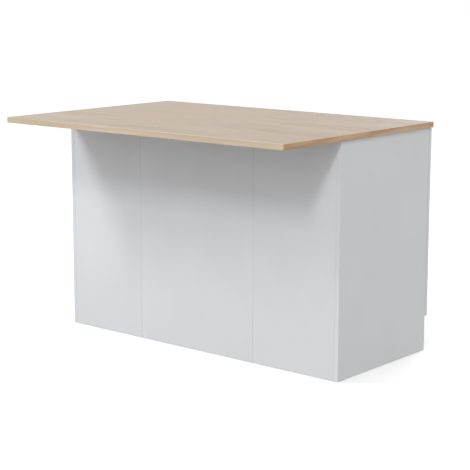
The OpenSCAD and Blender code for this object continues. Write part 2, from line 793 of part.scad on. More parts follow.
// Arm: a forked nose with its pin, a crank, and a channel that seats on the plate
module hinge_arm() {
    x0 = arm_pivot_x - nose_w / 2;
    x1 = arm_pivot_x + nose_w / 2;
    seat_end = arm_seat_y + seat_l;
    difference() {
        union() {
            translate([arm_pivot_x, -arm_pivot_y, -nose_h / 2]) cylinder(d = nose_w, h = nose_h);
            translate([0, 0, -nose_h / 2]) linear_extrude(nose_h)
                polygon([[x0, -arm_pivot_y], [x0, nose_w], [arm_low_x, arm_seat_y - 2],
                    [arm_low_x, seat_end], [arm_high_x, seat_end], [arm_high_x, arm_seat_y],
                    [x1, nose_w + 2], [x1, -arm_pivot_y]]);
            slab(arm_low_x, arm_high_x, arm_seat_y, seat_end, -ridge_h / 2 - arm_web - channel_gap,
                ridge_h / 2 + arm_web + channel_gap);
        }
        // Slot of the fork around the link, and the channel over the plate's ridge
        slab(x0 - cut, x1 + cut, -arm_pivot_y - nose_w, eye_d / 2 + 1 - arm_pivot_y,
            -link_h / 2 - fork_gap, link_h / 2 + fork_gap);
        slab(arm_low_x - cut, arm_high_x - arm_web, arm_seat_y + 2, seat_end + cut,
            -ridge_h / 2 - channel_gap, ridge_h / 2 + channel_gap);
        for (y = arm_screw_ys) translate([arm_high_x - arm_web - cut, y, 0])
            bar_x(screw_d + 2 * hole_fit, arm_web + 2 * cut);
    }
    translate([arm_pivot_x, -arm_pivot_y, -nose_h / 2]) cylinder(d = pin_d, h = nose_h);
}

module hinge_arms() {
    color(STEEL) for (side = [-1, 1]) on_side(side) at_hinges() {
        hinge_arm();
        for (y = arm_screw_ys) translate([arm_high_x, y, 0])
            mirror([1, 0, 0]) translate([-hole_fit, 0, 0]) small_screw(arm_screw_l);
    }
}

// Mounting plate: a wing on the side panel and a ridge inside the arm's channel
module hinge_plates() {
    color(ZINC) for (side = [-1, 1]) on_side(side) at_hinges() difference() {
        union() {
            slab(board, board + plate_t, plate_y - wing_d / 2, plate_y + wing_d / 2,
                -plate_span / 2, plate_span / 2);
            for (s = [-1, 1]) translate([board, plate_y, s * plate_span / 2]) bar_x(wing_d, plate_t);
            slab(board, arm_high_x - arm_web, arm_seat_y + 3, arm_seat_y + seat_l - 2,
                -ridge_h / 2, ridge_h / 2);
        }
        plate_screw_sites() screw_cut();
        for (y = arm_screw_ys) translate([arm_high_x, y, 0])
            mirror([1, 0, 0]) screw_cut(arm_screw_l);
    }
}

// Slide frame on both sides of the middle bay: x from the divider's face to the drawer
module at_slides(i) {
    for (side = [-1, 1]) on_side(side) translate([bay_x, slide_y, slide_z(i)])
        mirror([1, 0, 0]) children();
}

// A channel of sheet steel along Y, open towards +X, centred on z = 0
module channel(reach, h) {
    difference() {
        translate([0, 0, -h / 2]) cube([reach, slide_l, h]);
        translate([steel_t, -cut, steel_t - h / 2])
            cube([reach, slide_l + 2 * cut, h - 2 * steel_t]);
    }
}

module slide_outers() {
    color(ZINC) for (i = [BOTTOM, MIDDLE, TOP]) at_slides(i) difference() {
        channel(outer_reach, slide_h);
        for (y = slide_screw_ys) translate([0, y - slide_y, 0])
            translate([-cut, 0, 0]) bar_x(screw_d + 2 * hole_fit, steel_t + 2 * cut);
    }
}

module slide_middles(i) {
    color(ZINC) at_slides(i) translate([middle_x, 0, 0]) channel(middle_reach - middle_x, middle_h);
}

// Inner members, open towards the divider, with the screws that hold them
module drawer_slides(i) {
    color(ZINC) at_slides(i) translate([slide_t, 0, 0]) mirror([1, 0, 0]) {
        difference() {
            channel(slide_t - inner_x, inner_h);
            for (y = slide_screw_ys) translate([-cut, y - slide_y, 0])
                bar_x(screw_d + 2 * hole_fit, steel_t + 2 * cut);
        }
        for (y = slide_screw_ys) translate([steel_t + hole_fit, y - slide_y, 0])
            mirror([1, 0, 0]) small_screw(screw_l - hole_spare);
    }
}

module drawer_front(i) {
    color(WHITE) difference() {
        slab(-divider_x + front_gap / 2, divider_x - front_gap / 2, front_y, front_back_y,
            front_zs[i], front_zs[i] + front_hs[i]);
        drawer_handle_place(i) handle_cuts();
    }
}

module drawer_handle_place(i) {
    translate([-handle_l / 2, front_y, front_zs[i] + front_hs[i] - handle_drop])
        rotate([0, 90, 0]) children();
}

module drawer_handle(i) {
    drawer_handle_place(i) handle();
}

module drawer_sides(i) {
    color(WHITE) for (side = [-1, 1]) on_side(side) difference() {
        slab(well_x, box_x, front_back_y, box_back_y, box_z(i), box_z(i) + box_hs[i]);
        slab(well_x - cut, well_x + groove_d, front_back_y - cut, box_back_y + cut,
            box_z(i) + groove_z, box_z(i) + groove_z + base_t + groove_fit);
        for (y = slide_screw_ys) translate([box_x, y, slide_z(i)])
            mirror([1, 0, 0]) screw_cut(screw_l - hole_spare - steel_t);
    }
}

module drawer_base(i) {
    reach = well_x + groove_d - groove_fit;
    color(WHITE) slab(-reach, reach, front_back_y, box_back_y, box_z(i) + groove_z,
        box_z(i) + groove_z + base_t);
}

module drawer_back(i) {
    color(WHITE) slab(-well_x, well_x, box_back_y - side_t, box_back_y,
        box_z(i) + groove_z + base_t, box_z(i) + box_hs[i]);
}

worktop();
on_side(-1) side_panel();  // side_panel_left
side_panel();  // side_panel_right
on_side(-1) divider();  // divider_left
divider();  // divider_right
bottom_panel(bays[0]);  // bottom_panel_left
bottom_panel(bays[1]);  // bottom_panel_centre
bottom_panel(bays[2]);  // bottom_panel_right
back_panel(0);  // back_panel_left
back_panel(1);  // back_panel_centre
back_panel(2);  // back_panel_right
plinth(bays[0]);  // plinth_left
plinth(bays[1]);  // plinth_centre
plinth(bays[2]);  // plinth_right
rail(carcass_y, false);  // front_rail
rail(inside_y - rail_w, true);  // rear_rail
shelf(bays[0]);  // shelf_left
shelf(bays[2]);  // shelf_right
shelf_pins();
cam_locks();
cam_bolts();
wood_dowels();
floor_glides();
worktop_screws();
rail_screws();
small_screws();
on_side(-1) door_board();  // door_left
door_board();  // door_right
on_side(-1) door_handle();  // door_handle_left
door_handle();  // door_handle_right
on_side(-1) hinge_cups();  // hinge_cups_left
hinge_cups();  // hinge_cups_right
on_side(-1) hinge_links();  // hinge_links_left
hinge_links();  // hinge_links_right
hinge_arms();
hinge_plates();
slide_outers();
drawer_front(TOP);  // drawer_top_front
drawer_sides(TOP);  // drawer_top_sides
drawer_back(TOP);  // drawer_top_back
drawer_base(TOP);  // drawer_top_base
drawer_handle(TOP);  // drawer_top_handle
drawer_slides(TOP);  // drawer_top_slides
slide_middles(TOP);  // slide_middles_top
drawer_front(MIDDLE);  // drawer_middle_front
drawer_sides(MIDDLE);  // drawer_middle_sides
drawer_back(MIDDLE);  // drawer_middle_back
drawer_base(MIDDLE);  // drawer_middle_base
drawer_handle(MIDDLE);  // drawer_middle_handle
drawer_slides(MIDDLE);  // drawer_middle_slides
slide_middles(MIDDLE);  // slide_middles_middle
drawer_front(BOTTOM);  // drawer_bottom_front
drawer_sides(BOTTOM);  // drawer_bottom_sides
drawer_back(BOTTOM);  // drawer_bottom_back
drawer_base(BOTTOM);  // drawer_bottom_base
drawer_handle(BOTTOM);  // drawer_bottom_handle
drawer_slides(BOTTOM);  // drawer_bottom_slides
slide_middles(BOTTOM);  // slide_middles_bottom
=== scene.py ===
"""Kitchen island unit: oak worktop on a white carcass with two doors and three drawers.

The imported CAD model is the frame. Plain boards and handles are worked out here as numpy surfaces in the
places that the frame gives. Bored boards, hinges, slides and locks are copies of its solids with eased edges,
and other small parts stay as they are. Each takes a procedural finish. All sizes are in metres.
"""

import json
import logging
import math
from dataclasses import dataclass, field
from enum import Enum
from typing import Any, Callable, Iterable, Optional, Sequence, Union

import bmesh
import bpy
import numpy as np
from bpy.types import Material, Mesh, Node, NodeSocket, Object, World
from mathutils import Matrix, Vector

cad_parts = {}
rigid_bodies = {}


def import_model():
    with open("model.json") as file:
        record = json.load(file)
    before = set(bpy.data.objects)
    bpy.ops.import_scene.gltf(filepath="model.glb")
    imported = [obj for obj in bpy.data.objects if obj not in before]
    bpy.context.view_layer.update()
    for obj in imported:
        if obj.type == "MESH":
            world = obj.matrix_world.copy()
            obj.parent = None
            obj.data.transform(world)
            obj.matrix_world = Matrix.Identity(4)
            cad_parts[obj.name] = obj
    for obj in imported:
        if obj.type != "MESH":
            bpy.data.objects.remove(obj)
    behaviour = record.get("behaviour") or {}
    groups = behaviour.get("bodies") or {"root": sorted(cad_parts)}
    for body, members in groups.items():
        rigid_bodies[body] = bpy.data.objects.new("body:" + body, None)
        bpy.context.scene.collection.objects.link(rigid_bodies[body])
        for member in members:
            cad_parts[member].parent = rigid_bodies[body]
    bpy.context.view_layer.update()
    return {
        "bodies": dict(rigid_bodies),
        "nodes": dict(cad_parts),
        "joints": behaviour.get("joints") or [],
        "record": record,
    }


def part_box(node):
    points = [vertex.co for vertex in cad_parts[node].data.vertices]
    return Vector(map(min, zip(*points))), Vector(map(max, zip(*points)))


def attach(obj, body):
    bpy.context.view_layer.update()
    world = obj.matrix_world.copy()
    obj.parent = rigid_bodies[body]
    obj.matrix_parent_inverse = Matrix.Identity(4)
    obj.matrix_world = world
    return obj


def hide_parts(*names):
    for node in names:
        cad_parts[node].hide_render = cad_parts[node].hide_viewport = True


LOG = logging.getLogger("island")
MM = 0.001
# Points of a mesh that are closer than this are one point.
WELD = 1e-6

Colour = tuple[float, ...]
Triple = tuple[float, float, float]
# Says from the two corners of a solid whether it stays.
Keep = Callable[[np.ndarray, np.ndarray], bool]


class Slot(str, Enum):
    """Material slots of the record; the new pieces are passed one, which nothing uses."""

    OAK = "oak_laminate"
    WHITE = "white_melamine"
    HANDLE = "brushed_handle"
    STEEL = "plated_steel"


class Axis(int, Enum):
    """Directions of the object's frame."""

    X = 0
    Y = 1
    Z = 2


class Zone(int, Enum):
    """Which finish of a white board a face takes: melamine, edge band, or the core inside a bore."""

    FACE = 0
    EDGE = 1
    CORE = 2


class TopZone(int, Enum):
    """Which finish of the worktop a face takes."""

    FACE = 0
    LONG_BAND = 1
    SHORT_BAND = 2


# Shader maths


def linear(red: float, green: float, blue: float) -> Colour:
    """Turns a display colour into the linear colour that shaders use.

    Args:
        red, green, blue: display values from 0 to 255.
    Returns:
        The linear colour with alpha 1.
    """
    shown = np.array([red, green, blue]) / 255
    low = shown / 12.92
    high = ((shown + 0.055) / 1.055) ** 2.4
    return (*np.where(shown <= 0.04045, low, high).tolist(), 1.0)


class Signal:
    """A number carried by a shader socket, for writing shader maths as plain expressions."""

    def __init__(self, graph: "Graph", socket: NodeSocket) -> None:
        """Wraps one output socket of a graph."""
        self.graph = graph
        self.socket = socket

    def _with(self, operation: str, first: Any, second: Any) -> "Signal":
        """Adds one Math node and returns its result."""
        node = self.graph.node("ShaderNodeMath", {"operation": operation}, {0: first, 1: second})
        return Signal(self.graph, node.outputs[0])

    def __add__(self, other: Any) -> "Signal":
        """self + other."""
        return self._with("ADD", self, other)

    def __radd__(self, other: Any) -> "Signal":
        """other + self."""
        return self._with("ADD", other, self)

    def __sub__(self, other: Any) -> "Signal":
        """self - other."""
        return self._with("SUBTRACT", self, other)

    def __rsub__(self, other: Any) -> "Signal":
        """other - self."""
        return self._with("SUBTRACT", other, self)

    def __mul__(self, other: Any) -> "Signal":
        """self * other."""
        return self._with("MULTIPLY", self, other)

    def __rmul__(self, other: Any) -> "Signal":
        """other * self."""
        return self._with("MULTIPLY", other, self)

    def swing(self) -> "Signal":
        """Folds self into a triangle wave between 0 and 1 that repeats every 2."""
        return self._with("PINGPONG", self, 1.0)

    def spread(self, low: float, high: float, start: float = 0.0, end: float = 1.0) -> "Signal":
        """Maps low..high onto start..end, clamped and smoothly stepped.

        Args:
            low, high: the input range.
            start, end: the output range.
        Returns:
            The mapped value.
        """
        node = self.graph.node(
            "ShaderNodeMapRange",
            {"interpolation_type": "SMOOTHSTEP", "clamp": True},
            {"Value": self, "From Min": low, "From Max": high, "To Min": start, "To Max": end},
        )
        return Signal(self.graph, node.outputs["Result"])


Input = Union[Signal, NodeSocket, float, Sequence[float]]
# Plain names of the surface shader's sockets.
LOOKS = {
    "colour": "Base Color",
    "rough": "Roughness",
    "metal": "Metallic",
    "normal": "Normal",
    "specular": "Specular IOR Level",
    "glow": "Emission Color",
    "glow_strength": "Emission Strength",
}


class Graph:
    """Node tree of one material, or of the surroundings."""

    def __init__(self, owner: Union[Material, World]) -> None:
        """Starts an empty tree in its owner."""
        self.owner = owner
        owner.use_nodes = True
        self.tree = owner.node_tree
        self.tree.nodes.clear()
        self._place: Optional[NodeSocket] = None

    @classmethod
    def of_material(cls, name: str) -> "Graph":
        """Starts a new material with that name."""
        return cls(bpy.data.materials.new(name))

    def node(self, kind: str, settings: dict[str, Any], inputs: dict[Any, Input]) -> Node:
        """Adds a node.

        Args:
            kind: the node's type.
            settings: its properties, set before its sockets are.
            inputs: values or links by socket name or number.
        Returns:
            The node.
        """
        node = self.tree.nodes.new(kind)
        for name, value in settings.items():
            setattr(node, name, value)
        for name, value in inputs.items():
            source = value.socket if isinstance(value, Signal) else value
            if isinstance(source, NodeSocket):
                self.tree.links.new(source, node.inputs[name])
            else:
                node.inputs[name].default_value = source
        return node

    @property
    def place(self) -> NodeSocket:
        """Object coordinates in metres."""
        if self._place is None:
            self._place = self.node("ShaderNodeTexCoord", {}, {}).outputs["Object"]
        return self._place

    def axes(self) -> tuple[Signal, ...]:
        """Object coordinates as three numbers."""
        split = self.node("ShaderNodeSeparateXYZ", {}, {0: self.place})
        return tuple(Signal(self, split.outputs[axis]) for axis in Axis)

    def stretched(self, scale: Sequence[float], shift: Sequence[float] = (0, 0, 0)) -> NodeSocket:
        """Object coordinates multiplied per axis, for a pattern with a direction.

        Args:
            scale: pattern units for each metre along X, Y and Z.
            shift: added after the scaling.
        Returns:
            The vector socket.
        """
        grown = self.node("ShaderNodeVectorMath", {"operation": "MULTIPLY"}, {0: self.place, 1: scale})
        moved = self.node("ShaderNodeVectorMath", {"operation": "ADD"}, {0: grown.outputs[0], 1: shift})
        return moved.outputs[0]

    def noise(
        self, where: NodeSocket, scale: float = 1.0, detail: float = 2.0, rough: float = 0.5
    ) -> Signal:
        """Fractal noise from 0 to 1.

        Args:
            where: the coordinates.
            scale: pattern units for each unit of the coordinates.
            detail: number of octaves.
            rough: how strong the finer octaves are.
        Returns:
            The noise value.
        """
        inputs = {"Vector": where, "Scale": scale, "Detail": detail, "Roughness": rough}
        return Signal(self, self.node("ShaderNodeTexNoise", {}, inputs).outputs[0])

    def blend(self, share: Input, first: Input, second: Input) -> NodeSocket:
        """Mixes two colours.

        Args:
            share: 0 for the first, 1 for the second.
            first, second: the colours.
        Returns:
            The colour socket.
        """
        settings = {"data_type": "RGBA", "clamp_factor": True}
        return self.node("ShaderNodeMix", settings, {0: share, 6: first, 7: second}).outputs[2]

    def ramp(self, value: Input, stops: Sequence[tuple[float, Colour]]) -> NodeSocket:
        """Colour ramp.

        Args:
            value: the place on the ramp.
            stops: places from 0 to 1 with their colours.
        Returns:
            The colour socket.
        """
        node = self.node("ShaderNodeValToRGB", {}, {0: value})
        points = node.color_ramp.elements
        while len(points) < len(stops):
            points.new(0.5)
        for point, (where, colour) in zip(points, stops):
            point.position = where
            point.color = colour
        return node.outputs[0]

    def bump(self, height: Input, strength: float, distance: float) -> NodeSocket:
        """Normal of a bumped surface.

        Args:
            height: the relief from 0 to 1.
            strength: share of the effect.
            distance: relief height in metres.
        Returns:
            The normal socket.
        """
        inputs = {"Height": height, "Strength": strength, "Distance": distance}
        return self.node("ShaderNodeBump", {}, inputs).outputs[0]

    def shade(self, **looks: Input) -> Material:
        """Closes the graph with a surface shader.

        Args:
            looks: values or links of the shader's sockets, by their names in LOOKS.
        Returns:
            The finished material.
        """
        inputs = {LOOKS[name]: value for name, value in looks.items()}
        shader = self.node("ShaderNodeBsdfPrincipled", {}, inputs)
        self.node("ShaderNodeOutputMaterial", {}, {"Surface": shader.outputs[0]})
        return self.owner


# Finishes


@dataclass(frozen=True)
class OakTop:
    """Printed oak laminate, its soft streaks along X."""

    name: str = "oak_laminate_top"
    warm: Colour = linear(180, 163, 146)
    grey: Colour = linear(173, 162, 148)
    blush: Colour = linear(178, 158, 145)
    dark: Colour = linear(150, 133, 113)
    pore: Colour = linear(128, 108, 86)
    blush_share: float = 0.7
    band_share: float = 0.44
    fibre_share: float = 0.24
    ring_share: float = 0.3
    pore_share: float = 0.42
    ring_count: float = 44.0
    relief: float = 0.06 * MM

    def make(self) -> Material:
        """Builds the material: soft patches, streaks, growth rings, fibres and pores along X.

        The rings are level lines of a stretched noise: the noise times ring_count, folded into a triangle
        wave, as on a board that is sawn lengthwise.

        Returns:
            The material.
        """
        g = Graph.of_material(self.name)
        patches = g.noise(g.stretched((1.3, 5.5, 5.5)), detail=3.0, rough=0.55)
        rosy = g.noise(g.stretched((2.4, 9.0, 9.0), (4.0, 2.0, 0.0)))
        bands = g.noise(g.stretched((1.8, 24.0, 24.0), (3.1, 0.7, 0.0)), detail=4.0, rough=0.62)
        fibres = g.noise(g.stretched((6.0, 260.0, 260.0)), detail=4.0, rough=0.68)
        pores = g.noise(g.stretched((45.0, 900.0, 900.0), (0.0, 5.0, 0.0)), detail=1.0)
        growth = g.noise(g.stretched((0.8, 4.2, 4.2), (1.7, 3.3, 0.0)), detail=1.5, rough=0.35)
        rings = (growth * self.ring_count + fibres * 0.5).swing().spread(0.3, 1.0)
        faded = g.noise(g.stretched((3.0, 14.0, 14.0), (0.0, 8.0, 0.0))).spread(0.38, 0.66)
        tone = g.blend(patches.spread(0.36, 0.64), self.grey, self.warm)
        rose = g.blend(rosy.spread(0.5, 0.72) * self.blush_share, tone, self.blush)
        streak = bands.spread(0.46, 0.8) * self.band_share + fibres.spread(0.48, 0.72) * self.fibre_share
        streak = streak + rings * faded * self.ring_share
        fleck = pores.spread(0.6, 0.7) * faded.spread(0.0, 0.5, 0.4, 1.0)
        return g.shade(
            colour=g.blend(fleck * self.pore_share, g.blend(streak, rose, self.dark), self.pore),
            rough=0.55 + fleck * 0.12 - patches * 0.06,
            normal=g.bump(fibres * 0.4 - fleck * 0.6, 0.25, self.relief),
            specular=0.28,
        )


@dataclass(frozen=True)
class OakBand:
    """Edge band in the worktop's print, its streaks along the edge that it covers.

    Just under the worktop's upper face, between two given heights, its colour goes over to a paler colour: a
    painted highlight along the band's rounded top edge.
    """

    along: Axis
    name: str
    light: Colour
    dark: Colour
    # Colour of the painted highlight along the band's top edge, and below it the heights where that highlight
    # fades in.
    arris_highlight: Colour
    highlight_rim: tuple[float, float] = (899.0 * MM, 899.6 * MM)
    relief: float = 0.05 * MM

    def make(self) -> Material:
        """Builds the material: streaks along the edge, and a painted highlight, a paler line where the band
        meets the top face.

        Returns:
            The material.
        """
        g = Graph.of_material(self.name)
        along_x = self.along is Axis.X
        wide = (1.9, 22.0, 55.0) if along_x else (22.0, 3.1, 55.0)
        fine = (14.0, 300.0, 900.0) if along_x else (300.0, 14.0, 900.0)
        broad = g.noise(g.stretched(wide), detail=4.0, rough=0.62)
        fibres = g.noise(g.stretched(fine))
        shade = broad.spread(0.36, 0.66) * 0.8 + fibres.spread(0.45, 0.75) * 0.2
        # Painted highlight: the colour turns paler just under the top face.
        highlight_rim = g.axes()[Axis.Z].spread(*self.highlight_rim)
        return g.shade(
            colour=g.blend(highlight_rim, g.blend(shade, self.light, self.dark), self.arris_highlight),
            rough=0.46 + fibres * 0.1,
            normal=g.bump(fibres, 0.2, self.relief),
            specular=0.4,
        )


@dataclass(frozen=True)
class Melamine:
    """White melamine with the fine pearl relief of its press plate, about 0.8 mm across."""

    name: str
    light: Colour
    dim: Colour
    rough: float = 0.36
    pearl: float = 0.35
    relief: float = 0.03 * MM

    def make(self) -> Material:
        """Builds the material: rounded pearls, and very faint tone changes.

        Returns:
            The material.
        """
        g = Graph.of_material(self.name)
        pearls = g.noise(g.place, 1250.0, rough=0.45)
        clouds = g.noise(g.place, 5.0)
        haze = g.noise(g.place, 70.0, 3.0, 0.6)
        return g.shade(
            colour=g.blend(clouds.spread(0.3, 0.7) * 0.7 + haze * 0.3, self.light, self.dim),
            rough=self.rough + haze * 0.08 + pearls * 0.06,
            normal=g.bump(pearls, self.pearl, self.relief),
            specular=0.42,
        )


@dataclass(frozen=True)
class Chipboard:
    """Raw particle board inside bores and grooves."""

    name: str = "chipboard_core"
    dark: Colour = linear(126, 98, 66)
    tan: Colour = linear(176, 146, 106)
    light: Colour = linear(206, 180, 140)
    relief: float = 0.2 * MM

    def make(self) -> Material:
        """Builds the material: chips of one tone for each cell of a cell noise, with dust over them.

        Returns:
            The material.
        """
        g = Graph.of_material(self.name)
        chips = g.node("ShaderNodeTexVoronoi", {}, {"Vector": g.place, "Scale": 620.0})
        shade = g.noise(chips.outputs["Position"], 900.0, 1.0)
        dust = g.noise(g.place, 2600.0, rough=0.6)
        stops = ((0.3, self.dark), (0.5, self.tan), (0.7, self.light))
        return g.shade(
            colour=g.ramp(shade * 0.7 + dust * 0.3, stops),
            rough=0.85 + dust * 0.1,
            normal=g.bump(shade + dust * 0.5, 0.6, self.relief),
        )


@dataclass(frozen=True)
class BrushedBar:
    """Brushed stainless steel, its brush lines along the bar."""

    along: Axis
    name: str
    light: Colour = linear(176, 177, 178)
    bright: Colour = linear(204, 205, 205)
    across_scale: float = 2600.0
    along_scale: float = 16.0
    relief: float = 0.02 * MM

    def make(self) -> Material:
        """Builds the material: hair-thin lines along the bar in colour, gloss and relief.

        Returns:
            The material.
        """
        g = Graph.of_material(self.name)
        scale = [self.along_scale if axis is self.along else self.across_scale for axis in Axis]
        lines = g.noise(g.stretched(scale), rough=0.6)
        smears = g.noise(g.place, 38.0, 3.0, 0.6)
        return g.shade(
            colour=g.blend(lines.spread(0.3, 0.7), self.light, self.bright),
            metal=1.0,
            rough=0.26 + lines * 0.14 + smears.spread(0.4, 0.8) * 0.08,
            normal=g.bump(lines, 0.18, self.relief),
        )


@dataclass(frozen=True)
class MetalPlate:
    """Bright zinc or nickel plate on steel, with its faint cloudy bloom."""

    name: str
    light: Colour
    dark: Colour
    rough: float
    relief: float = 0.02 * MM

    def make(self) -> Material:
        """Builds the material: cloudy bloom over fine rolling marks.

        Returns:
            The material.
        """
        g = Graph.of_material(self.name)
        bloom = g.noise(g.place, 90.0, 4.0, 0.65)
        grain = g.noise(g.stretched((900.0, 60.0, 900.0)), rough=0.6)
        shade = bloom.spread(0.35, 0.7) * 0.75 + grain * 0.25
        return g.shade(
            colour=g.blend(shade, self.light, self.dark),
            metal=1.0,
            rough=self.rough + bloom * 0.14 + grain * 0.06,
            normal=g.bump(grain, 0.15, self.relief),
        )


@dataclass(frozen=True)
class Beech:
    """Turned beech with its short dark rays, its grain along X."""

    name: str = "beech_dowel"
    light: Colour = linear(222, 190, 148)
    dark: Colour = linear(190, 150, 106)
    ray: Colour = linear(150, 108, 70)
    relief: float = 0.1 * MM

    def make(self) -> Material:
        """Builds the material: long grain with short flecks.

        Returns:
            The material.
        """
        g = Graph.of_material(self.name)
        grain = g.noise(g.stretched((60.0, 600.0, 600.0)), detail=3.0, rough=0.6)
        rays = g.noise(g.stretched((400.0, 1800.0, 1800.0)), detail=1.0)
        wood = g.blend(grain.spread(0.35, 0.7), self.light, self.dark)
        return g.shade(
            colour=g.blend(rays.spread(0.62, 0.75) * 0.5, wood, self.ray),
            rough=0.62 + grain * 0.12,
            normal=g.bump(grain - rays * 0.4, 0.3, self.relief),
        )


@dataclass(frozen=True)
class Nylon:
    """Moulded grey nylon."""

    name: str = "nylon_glide"
    clean: Colour = linear(208, 207, 203)
    scuffed: Colour = linear(160, 157, 150)
    scuff_height: float = 2.0 * MM
    relief: float = 0.04 * MM

    def make(self) -> Material:
        """Builds the material: a fine moulded grain with scuffs near the floor.

        Returns:
            The material.
        """
        g = Graph.of_material(self.name)
        grain = g.noise(g.place, 1600.0)
        height = g.axes()[Axis.Z]
        low = 1 - height.spread(0.0, self.scuff_height)
        scuff = low * g.noise(g.place, 300.0, 3.0, 0.7).spread(0.45, 0.7)
        return g.shade(
            colour=g.blend(scuff * 0.5, self.clean, self.scuffed),
            rough=0.42 + grain * 0.12 + scuff * 0.2,
            normal=g.bump(grain, 0.2, self.relief),
        )


@dataclass(frozen=True)
class PalePaper:
    """Matt pale floor of the studio, which glows more away from the unit."""

    name: str = "studio_floor"
    light: Colour = linear(250, 250, 250)
    dim: Colour = linear(247, 247, 247)
    near_glow: Colour = linear(105, 105, 105)
    far_glow: Colour = linear(152, 152, 152)
    glow_reach: tuple[float, float] = (1.2, 4.0)

    def make(self) -> Material:
        """Builds the material: almost white, faintly uneven, its glow growing over glow_reach.

        Returns:
            The material.
        """
        g = Graph.of_material(self.name)
        fibre = g.noise(g.place, 40.0)
        reach = g.node("ShaderNodeVectorMath", {"operation": "LENGTH"}, {0: g.place})
        far = Signal(g, reach.outputs["Value"]).spread(*self.glow_reach)
        glow = g.blend(far, self.near_glow, self.far_glow)
        return g.shade(
            colour=g.blend(fibre, self.light, self.dim),
            rough=0.9 + fibre * 0.05,
            specular=0.1,
            glow=glow,
            glow_strength=1.0,
        )


class Finishes:
    """Every material of the unit and of the studio's floor, built once."""

    def __init__(self) -> None:
        """Builds the materials."""
        self.oak_top = OakTop().make()
        # Each band's third colour is the painted highlight along its top edge.
        self.oak_long_band = OakBand(
            Axis.X, "oak_band_long", linear(216, 197, 173), linear(191, 171, 147), linear(222, 204, 187)
        ).make()
        # The short bands carry the same print as the long ones, in a darker, warmer copy: painted shade on
        # the worktop's ends.
        self.oak_short_band = OakBand(
            Axis.Y, "oak_band_short", linear(213, 179, 143), linear(174, 139, 105), linear(214, 180, 148)
        ).make()
        self.white = Melamine("white_melamine", linear(230, 232, 235), linear(226, 228, 231)).make()
        # A darker, less blue copy of the white for the side panels: painted shade.
        self.shaded_end_white = Melamine("shaded_white_end_panel", linear(227, 228, 229), linear(223, 224, 225)).make()
        self.white_edge = Melamine(
            "white_edge_band", linear(231, 232, 234), linear(227, 228, 230), rough=0.4, pearl=0.15
        ).make()
        self.chipboard = Chipboard().make()
        self.bar_x = BrushedBar(Axis.X, "brushed_bar_level").make()
        self.bar_z = BrushedBar(Axis.Z, "brushed_bar_upright").make()
        self.zinc = MetalPlate("zinc_plate", linear(198, 201, 205), linear(170, 174, 180), 0.26).make()
        self.nickel = MetalPlate("nickel_plate", linear(226, 225, 222), linear(204, 202, 198), 0.24).make()
        self.beech = Beech().make()
        self.nylon = Nylon().make()
        self.floor = PalePaper().make()

    @property
    def board(self) -> list[Material]:
        """Finishes of a white board, in the order of Zone."""
        return [self.white, self.white_edge, self.chipboard]

    @property
    def end_board(self) -> list[Material]:
        """Finishes of a side panel, whose white is a little darker and less blue than the other boards': a
        shaded copy of the same melamine, painted shade.
        """
        return [self.shaded_end_white, self.white_edge, self.chipboard]

    @property
    def worktop(self) -> list[Material]:
        """Finishes of the worktop, in the order of TopZone."""
        return [self.oak_top, self.oak_long_band, self.oak_short_band]


# Surfaces


@dataclass
class Surface:
    """Points and faces of a closed surface, with each face's zone and whether it is shaded round.

    Its caps are further faces, which are flat and of zone 0.
    """

    points: np.ndarray
    quads: np.ndarray
    zones: np.ndarray
    smooth: np.ndarray
    caps: list[list[int]] = field(default_factory=list)

    @staticmethod
    def joined(parts: Sequence["Surface"]) -> "Surface":
        """Several surfaces as one.

        Args:
            parts: the surfaces.
        Returns:
            One surface with all their points and faces.
        """
        starts = np.cumsum([0] + [len(part.points) for part in parts[:-1]])
        caps = [
            [index + int(start) for index in cap] for part, start in zip(parts, starts) for cap in part.caps
        ]
        return Surface(
            np.concatenate([part.points for part in parts]),
            np.concatenate([part.quads + start for part, start in zip(parts, starts)]),
            np.concatenate([part.zones for part in parts]),
            np.concatenate([part.smooth for part in parts]),
            caps,
        )


def grid_quads(rows: int, columns: int, closed: bool = False) -> np.ndarray:
    """Quads of a grid of points that is stored row by row.

    Args:
        rows, columns: size of the grid in points.
        closed: joins the last column to the first.
    Returns:
        Point numbers, four for each quad.
    """
    row = np.arange(rows - 1)[:, None] * columns
    column = np.arange(columns if closed else columns - 1)[None, :]
    after = (column + 1) % columns
    corners = [row + column, row + after, row + columns + after, row + columns + column]
    return np.stack([np.broadcast_to(c, (rows - 1, column.size)).ravel() for c in corners], axis=1)


